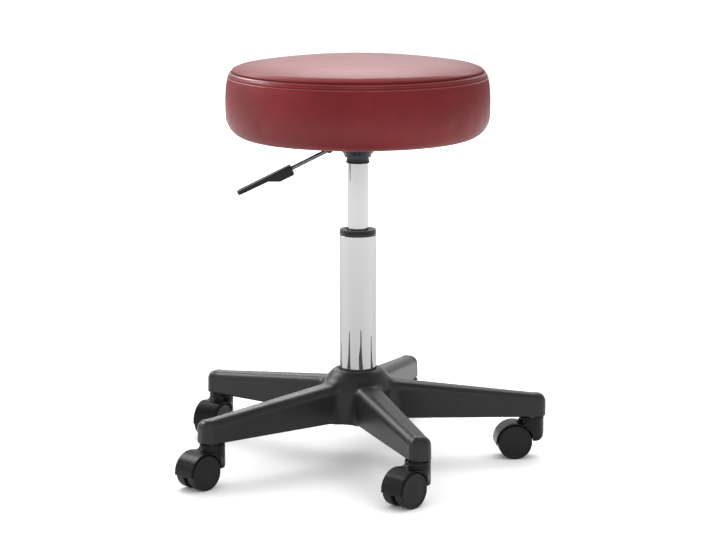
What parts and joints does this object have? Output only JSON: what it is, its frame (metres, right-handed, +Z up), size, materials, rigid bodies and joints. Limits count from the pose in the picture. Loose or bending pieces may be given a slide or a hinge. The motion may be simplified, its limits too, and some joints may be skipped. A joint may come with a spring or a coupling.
{
  "type": "rolling stool",
  "caption": "Round padded rolling stool in red leatherette on a chrome gas lift, with a height lever and a black star base on twin-wheel casters.",
  "frame": {"origin": "on the floor, straight under the column axis", "axes": "+Z up along the column axis, +X along the leg on the right of the picture, the height lever points along -X and the viewer of the picture stands towards -Y"},
  "size_m": [0.4973, 0.52, 0.55],
  "materials": {
    "nylon": "satin moulded black nylon, slightly grained",
    "chrome": "bright polished chrome plating",
    "ring": "smooth black moulded plastic",
    "steel": "zinc-plated steel",
    "rubber": "black rubber",
    "dark_steel": "black powder-coated steel",
    "paddle": "black moulded plastic",
    "plywood": "raw plywood",
    "foam": "open-cell polyurethane foam",
    "leatherette": "deep red leatherette with a fine grain and a soft sheen",
    "hood": "smooth black nylon",
    "wheel": "matt black nylon"
  },
  "bodies": {
    "base": {"star_base": "nylon", "stand_tube": "chrome", "guide_sleeve": "ring", "bearing_lower_race": "steel", "bearing_ball_cage": "steel", "grip_ring_right": "steel", "grip_ring_rear_right": "steel", "grip_ring_rear_left": "steel", "grip_ring_left": "steel", "grip_ring_front": "steel"},
    "piston": {"piston_rod": "steel", "bearing_upper_race": "steel", "bump_stop": "rubber", "retaining_clip": "steel"},
    "seat": {"lift_tube": "chrome", "rod_gland": "steel", "top_collar": "ring", "seat_socket": "dark_steel", "seat_plate": "dark_steel", "seat_bolt_1": "steel", "seat_bolt_2": "steel", "seat_bolt_3": "steel", "seat_bolt_4": "steel", "tee_nut_1": "steel", "tee_nut_2": "steel", "tee_nut_3": "steel", "tee_nut_4": "steel", "lever_pivot_pin": "steel", "seat_board": "plywood", "seat_foam": "foam", "seat_cover": "leatherette"},
    "lever": {"lever_rod": "dark_steel", "lever_paddle": "paddle"},
    "release": {"release_pin": "steel"},
    "caster_right": {"caster_hood_right": "hood", "caster_stem_right": "steel", "caster_axle_right": "steel"},
    "wheel_right_left": {"wheel_right_left": "wheel"},
    "wheel_right_right": {"wheel_right_right": "wheel"},
    "caster_rear_right": {"caster_hood_rear_right": "hood", "caster_stem_rear_right": "steel", "caster_axle_rear_right": "steel"},
    "wheel_rear_right_left": {"wheel_rear_right_left": "wheel"},
    "wheel_rear_right_right": {"wheel_rear_right_right": "wheel"},
    "caster_rear_left": {"caster_hood_rear_left": "hood", "caster_stem_rear_left": "steel", "caster_axle_rear_left": "steel"},
    "wheel_rear_left_left": {"wheel_rear_left_left": "wheel"},
    "wheel_rear_left_right": {"wheel_rear_left_right": "wheel"},
    "caster_left": {"caster_hood_left": "hood", "caster_stem_left": "steel", "caster_axle_left": "steel"},
    "wheel_left_left": {"wheel_left_left": "wheel"},
    "wheel_left_right": {"wheel_left_right": "wheel"},
    "caster_front": {"caster_hood_front": "hood", "caster_stem_front": "steel", "caster_axle_front": "steel"},
    "wheel_front_left": {"wheel_front_left": "wheel"},
    "wheel_front_right": {"wheel_front_right": "wheel"}
  },
  "joints": [
    {"name": "seat_swivel", "type": "hinge", "parent": "base", "child": "piston", "pos_m": [0, 0, 0.06761], "axis": [0, 0, 1], "continuous": true},
    {"name": "height_slide", "type": "slide", "parent": "piston", "child": "seat", "axis": [0, 0, 1], "range_m": [-0.08, 0.04]},
    {"name": "lever_lift", "type": "hinge", "parent": "seat", "child": "lever", "pos_m": [-0.038, 0, 0.42441], "axis": [0, 1, 0], "range_deg": [0, 5], "stiffness_Nm_per_rad": 1, "springref_deg": -2.86},
    {"name": "release_travel", "type": "slide", "parent": "seat", "child": "release", "axis": [0, 0, -1], "range_m": [0, 0.0036]},
    {"name": "caster_right_swivel", "type": "hinge", "parent": "base", "child": "caster_right", "pos_m": [0.2377, 0, 0.05661], "axis": [0, 0, 1], "continuous": true},
    {"name": "wheel_right_left_spin", "type": "hinge", "parent": "caster_right", "child": "wheel_right_left", "pos_m": [0.21328, -0.00192, 0.02321], "axis": [0.0785, -0.9969, 0], "continuous": true},
    {"name": "wheel_right_right_spin", "type": "hinge", "parent": "caster_right", "child": "wheel_right_right", "pos_m": [0.21328, -0.00192, 0.02321], "axis": [0.0785, -0.9969, 0], "continuous": true},
    {"name": "caster_rear_right_swivel", "type": "hinge", "parent": "base", "child": "caster_rear_right", "pos_m": [0.07345, 0.22607, 0.05661], "axis": [0, 0, 1], "continuous": true},
    {"name": "wheel_rear_right_left_spin", "type": "hinge", "parent": "caster_rear_right", "child": "wheel_rear_right_left", "pos_m": [0.05125, 0.21571, 0.02321], "axis": [0.4226, -0.9063, 0], "continuous": true},
    {"name": "wheel_rear_right_right_spin", "type": "hinge", "parent": "caster_rear_right", "child": "wheel_rear_right_right", "pos_m": [0.05125, 0.21571, 0.02321], "axis": [0.4226, -0.9063, 0], "continuous": true},
    {"name": "caster_rear_left_swivel", "type": "hinge", "parent": "base", "child": "caster_rear_left", "pos_m": [-0.1923, 0.13972, 0.05661], "axis": [0, 0, 1], "continuous": true},
    {"name": "wheel_rear_left_left_spin", "type": "hinge", "parent": "caster_rear_left", "child": "wheel_rear_left_left", "pos_m": [-0.2038, 0.11808, 0.02321], "axis": [0.8829, -0.4695, 0], "continuous": true},
    {"name": "wheel_rear_left_right_spin", "type": "hinge", "parent": "caster_rear_left", "child": "wheel_rear_left_right", "pos_m": [-0.2038, 0.11808, 0.02321], "axis": [0.8829, -0.4695, 0], "continuous": true},
    {"name": "caster_left_swivel", "type": "hinge", "parent": "base", "child": "caster_left", "pos_m": [-0.1923, -0.13972, 0.05661], "axis": [0, 0, 1], "continuous": true},
    {"name": "wheel_left_left_spin", "type": "hinge", "parent": "caster_left", "child": "wheel_left_left", "pos_m": [-0.20999, -0.15667, 0.02321], "axis": [0.6921, -0.7218, 0], "continuous": true},
    {"name": "wheel_left_right_spin", "type": "hinge", "parent": "caster_left", "child": "wheel_left_right", "pos_m": [-0.20999, -0.15667, 0.02321], "axis": [0.6921, -0.7218, 0], "continuous": true},
    {"name": "caster_front_swivel", "type": "hinge", "parent": "base", "child": "caster_front", "pos_m": [0.07345, -0.22607, 0.05661], "axis": [0, 0, 1], "continuous": true},
    {"name": "wheel_front_left_spin", "type": "hinge", "parent": "caster_front", "child": "wheel_front_left", "pos_m": [0.05628, -0.24354, 0.02321], "axis": [0.7133, -0.7009, 0], "continuous": true},
    {"name": "wheel_front_right_spin", "type": "hinge", "parent": "caster_front", "child": "wheel_front_right", "pos_m": [0.05628, -0.24354, 0.02321], "axis": [0.7133, -0.7009, 0], "continuous": true}
  ],
  "couplings": [
    {"joint": "release_travel", "follows": "lever_lift", "m_per_rad": 0.039}
  ]
}
